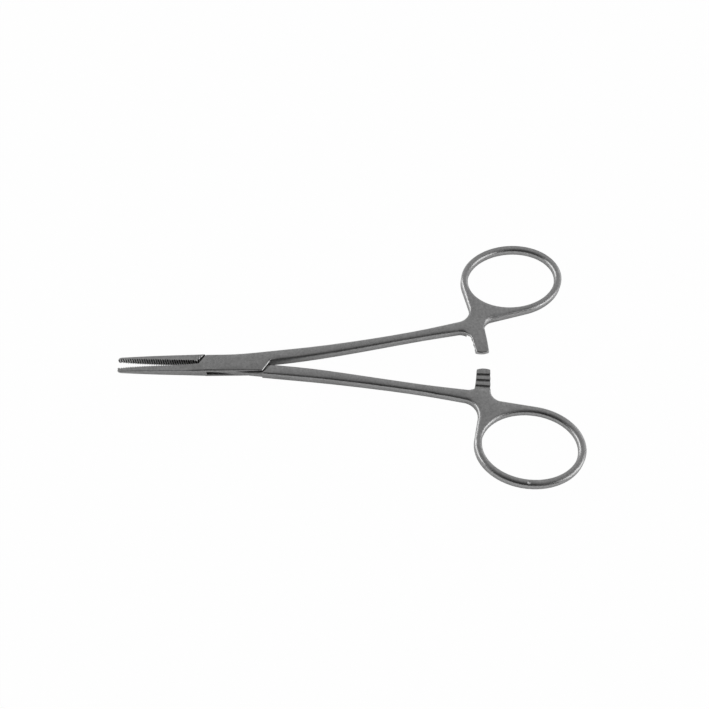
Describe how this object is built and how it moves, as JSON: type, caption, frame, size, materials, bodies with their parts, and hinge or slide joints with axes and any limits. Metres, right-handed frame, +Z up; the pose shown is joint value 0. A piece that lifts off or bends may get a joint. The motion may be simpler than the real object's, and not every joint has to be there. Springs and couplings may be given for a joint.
{
  "type": "mosquito forceps",
  "caption": "Slender locking clamp with finger rings, a sunk box joint, toothed ratchet arms and fine serrated straight jaws.",
  "frame": {"origin": "centre of the lock pin's lower end, on the flat underside", "axes": "+X from the lock to the finger rings, +Z up, away from the surface that the part lies on"},
  "size_m": [0.1245, 0.0756, 0.0034],
  "materials": {
    "satin_steel": "satin",
    "pin_steel": "satin, ground flush"
  },
  "bodies": {
    "box_side": {"box_half": "satin_steel", "lock_pin": "pin_steel"},
    "tenon_side": {"tenon_half": "satin_steel"}
  },
  "joints": [
    {"name": "box_lock", "type": "hinge", "parent": "box_side", "child": "tenon_side", "pos_m": [0, 0, 0], "axis": [-0.0049, 0, -1], "range_deg": [-4.45, 85.55]}
  ]
}
